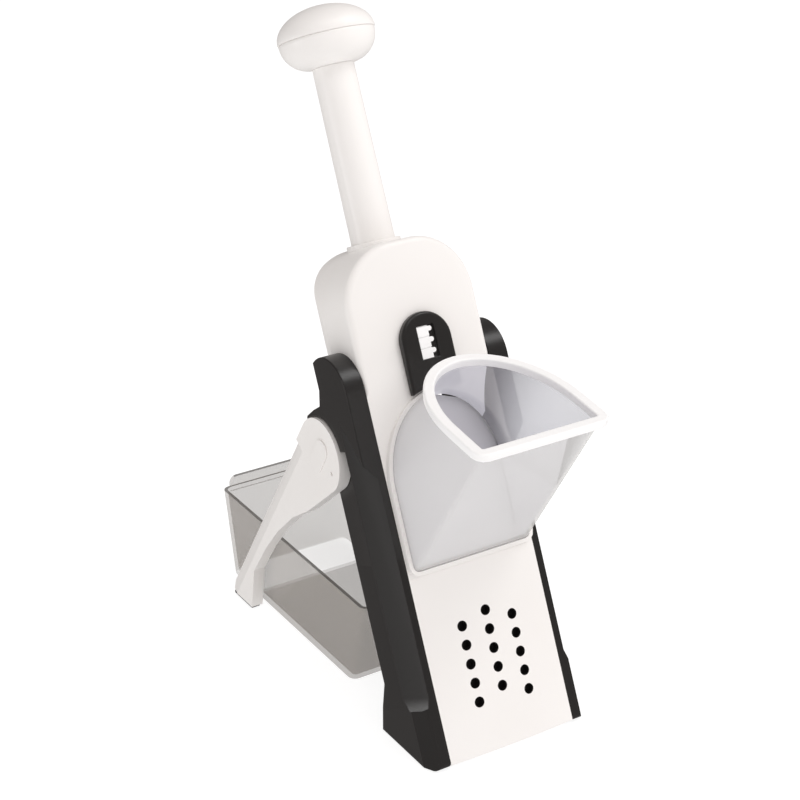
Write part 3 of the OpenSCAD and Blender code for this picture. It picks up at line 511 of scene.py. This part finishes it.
bowl_h = bowl_high.z - bowl_low.z
bowl = quarter((neck_r, 0), (bowl_r, bowl_h - edge), (neck_r, bowl_h - edge), steps=20)
bowl = [(TIP_R, 0)] + bowl + [(bowl_r - edge, bowl_h), (TIP_R, bowl_h)]
base = turned("knob_base_piece", bowl, (0, axis_n, bowl_low.z))
finish_piece(base, "knob_base", warm_white_abs)
base.data.set_sharp_from_angle(angle=math.radians(SMOOTH_DEG))
softened("plunger_rod", 0.4, warm_white_abs)
print("knob", round(2 * knob_r / MM, 1), "mm across")

# %% [markdown]
# ## Hopper and latch
# The hopper is a thin frosted shell with a thick white rim. Its faces that look inwards get a darker copy
# of the frosted plastic, as painted shade, which also holds the painted corner shade and glow. The black
# latch plate above it is rounded broadly at its front, and carries a small white grip.

# %% Hopper and latch
hopper = softened("chute_body", 0.8, frosted_san)
hopper.data.materials.append(frosted_inside_painted_shade)
out_high = slant_box("chute_body")[1]
rim_ends = nodes["chute_rim"].data.vertices
mouth = sum((v.co for v in rim_ends), Vector()) / len(rim_ends)
outlet_ends = [v.co for v in hopper.data.vertices if (to_body @ v.co).y > out_high.y - MM]
outlet = sum(outlet_ends, Vector()) / len(outlet_ends)
# faces that look inwards get the darker copy: painted shade
for face in hopper.data.polygons:
    share = (face.center - mouth).dot(outlet - mouth) / (outlet - mouth).length_squared
    middle = mouth.lerp(outlet, share)
    if face.normal.dot(middle - face.center) > 0:
        face.material_index = 1
# the rim gets the whiter copy, partly painted light on its upward faces
softened("chute_rim", 1.1, painted_light_white_abs, segments=4)
plate_low = slant_box("latch_plate")[0]
grip_low, grip_high = slant_box("latch_grip")


def on_plate_front(place):
    """On the outline of the latch plate's front, outside the grip's window."""
    beside = place.x < grip_low.x - MM or place.x > grip_high.x + 2 * MM
    level = grip_low.z - MM < place.z < grip_high.z + MM
    return place.y < plate_low.y + HAIR and (beside or not level)


softened("latch_plate", 0.5, black_abs, segments=5, broad_mm=2.6, broad=on_plate_front)
softened("latch_grip", 0.35, painted_light_white_abs)
print("hopper done")

# %% [markdown]
# ## Legs
# Each leg is a flat moulding with a round hub, a bevel along its back edge and an oval cap over the pivot.

# %% Legs
for side in ("left", "right"):
    softened(side + "_leg", 1.0, warm_white_abs, crease_deg=15)
    softened(side + "_leg_cap", 0.28, warm_white_abs)
print("legs done")

# %% [markdown]
# ## Catch box
# The box is one thin tinted moulding. Its rim and edges look darker because the eye looks along the wall.
# Its floor is bright at the back, where the table lies in the light, and dark under the slicer, so the
# floor is cut in two: the back part gets a clearer tint as painted light, and the front part a denser
# tint as painted shade.

# %% Catch box
SHADE_Y = 105 * MM
FLOOR_TOP = 20 * MM
LEVEL = 0.9
box = softened("catch_box", 0.5, smoky_san)
form = bmesh.new()
form.from_mesh(box.data)
flat = [f for f in form.faces if abs(f.normal.z) > LEVEL and f.calc_center_median().z < FLOOR_TOP]
parts = {part for f in flat for part in (f, *f.edges, *f.verts)}
bmesh.ops.bisect_plane(form, geom=list(parts), plane_co=(0, SHADE_Y, 0), plane_no=(0, 1, 0))
form.to_mesh(box.data)
form.free()
for material in (smoky_edge, smoky_painted_lit_floor, smoky_painted_shade_floor):
    box.data.materials.append(material)
box.modifiers["soft_edges"].material = 1
for face in box.data.polygons:
    if face.normal.z > LEVEL and face.center.z > FLOOR_TOP:
        face.material_index = 1
    elif abs(face.normal.z) > LEVEL:
        # the floor's back part gets the clearer painted light, its front part the denser painted shade
        face.material_index = 2 if face.center.y > SHADE_Y else 3
print("box with", len(box.data.polygons), "faces before its bevel")

# %% [markdown]
# ## Inner works
# The deck, blade, crosshead, rods and screws show from behind and when the plunger is down. Their solids
# are already right, so they keep them and only take a finish.

# %% Inner works
INNER = {
    "crosshead": black_abs, "slicing_deck": grey_abs, "v_blade": blade_steel, "blade_screws": bright_steel,
    "back_screws": bright_steel, "guide_rods": bright_steel, "spring_seats": warm_white_abs,
    "leg_pins": bright_steel, "knob_screw": bright_steel,
}
for node, material in INNER.items():
    nodes[node].data.materials.clear()
    nodes[node].data.materials.append(material)
print(len(INNER), "inner nodes finished")

# %% [markdown]
# ## Return springs
# A spring has to shorten when the plunger goes down, which a rigid solid can't. A smooth copy of each coil
# stands for it, and gets a mesh of its own.

# %% Springs
for side in ("left", "right"):
    node = side + "_spring"
    spring = welded_copy(node)
    finish_piece(spring, node, bright_steel)
    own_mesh(spring)

# %% [markdown]
# ## Floor and light
# The photograph has a plain white ground and soft, even light, with the housing's left side a little
# darker than its front. A large floor that glows slightly stays white, and four soft lamps give the shade.
# Black plastic shows what it mirrors more than its own colour, so the world is dim in mirrored rays, and
# the floor and the key lamp are left out of them. The low lamp on the left lights the ledge at the foot of
# the rail.

# %% Floor
REACH, DROP = 6.0, 0.3 * MM
PAPER_GLOW, PAPER_MATT = 1.3, 0.35
floor_mesh = bpy.data.meshes.new("floor")
corners = [(x * REACH, y * REACH, 0) for x, y in ((-1, -1), (1, -1), (1, 1), (-1, 1))]
floor_mesh.from_pydata(corners, [], [(0, 1, 2, 3)])
floor = bpy.data.objects.new("floor", floor_mesh)
floor.location.z = -DROP
floor.visible_glossy = False
scene.collection.objects.link(floor)
paper, tree = blank_material("white_paper")
glow = add_node(tree, "ShaderNodeEmission", {"Color": linear("#ffffff"), "Strength": PAPER_GLOW})
matt = add_node(tree, "ShaderNodeBsdfDiffuse", {"Color": linear("#fafafa")})
both = add_node(tree, "ShaderNodeMixShader", {"Fac": PAPER_MATT})
tree.links.new(glow.outputs["Emission"], both.inputs[1])
tree.links.new(matt.outputs["BSDF"], both.inputs[2])
add_node(tree, "ShaderNodeOutputMaterial", {"Surface": both.outputs["Shader"]})
floor_mesh.materials.append(paper)
print("floor", 2 * REACH, "m wide")

# %% Light
FRONT_RIGHT = Vector((0.64, -0.77, 0))
DIM, BRIGHT, MIRRORED, SEEN = 0.42, 0.92, 0.22, 1.15
scene.view_settings.view_transform = "Standard"
world = bpy.data.worlds.new("studio")
scene.world = world
world.use_nodes = True
backdrop = world.node_tree.nodes["Background"]
backdrop.inputs["Color"].default_value = linear("#fffaf8")
tree = world.node_tree
aim = add_node(tree, "ShaderNodeTexCoord").outputs["Generated"]
ahead = add_node(tree, "ShaderNodeVectorMath", {0: aim, 1: FRONT_RIGHT}, operation="DOT_PRODUCT")
fade = add_node(tree, "ShaderNodeMapRange", {
    "Value": ahead.outputs["Value"], "From Min": -1.0, "To Min": DIM, "To Max": BRIGHT})
path = add_node(tree, "ShaderNodeLightPath")
soft = add_node(tree, "ShaderNodeMix", {
    "Factor": path.outputs["Is Glossy Ray"], "A": fade.outputs["Result"], "B": MIRRORED})
strength = add_node(tree, "ShaderNodeMix", {
    "Factor": path.outputs["Is Camera Ray"], "A": soft.outputs["Result"], "B": SEEN})
tree.links.new(strength.outputs["Result"], backdrop.inputs["Strength"])


def softbox(name, place, aim, size, power):
    """A square lamp that faces a point and isn't seen by the camera itself."""
    lamp = bpy.data.lights.new(name, "AREA")
    lamp.shape = "SQUARE"
    lamp.size = size
    lamp.energy = power
    holder = bpy.data.objects.new(name, lamp)
    holder.location = place
    holder.rotation_euler = (Vector(aim) - Vector(place)).to_track_quat("-Z", "Y").to_euler()
    holder.visible_camera = False
    scene.collection.objects.link(holder)
    return holder


key = softbox("key", (0.7, -1.3, 1.4), (0, 0, 0.2), 0.9, 4.5)
key.visible_glossy = False
softbox("top", (0.85, -0.45, 1.75), (0, 0, 0.2), 0.7, 6)
softbox("overhead", (-0.1, -0.45, 1.75), (0, 0, 0.1), 0.6, 2.5)
softbox("left", (-1.475, 0.319, 0.185), (-0.05, -0.101, 0.035), 0.33, 2.2)
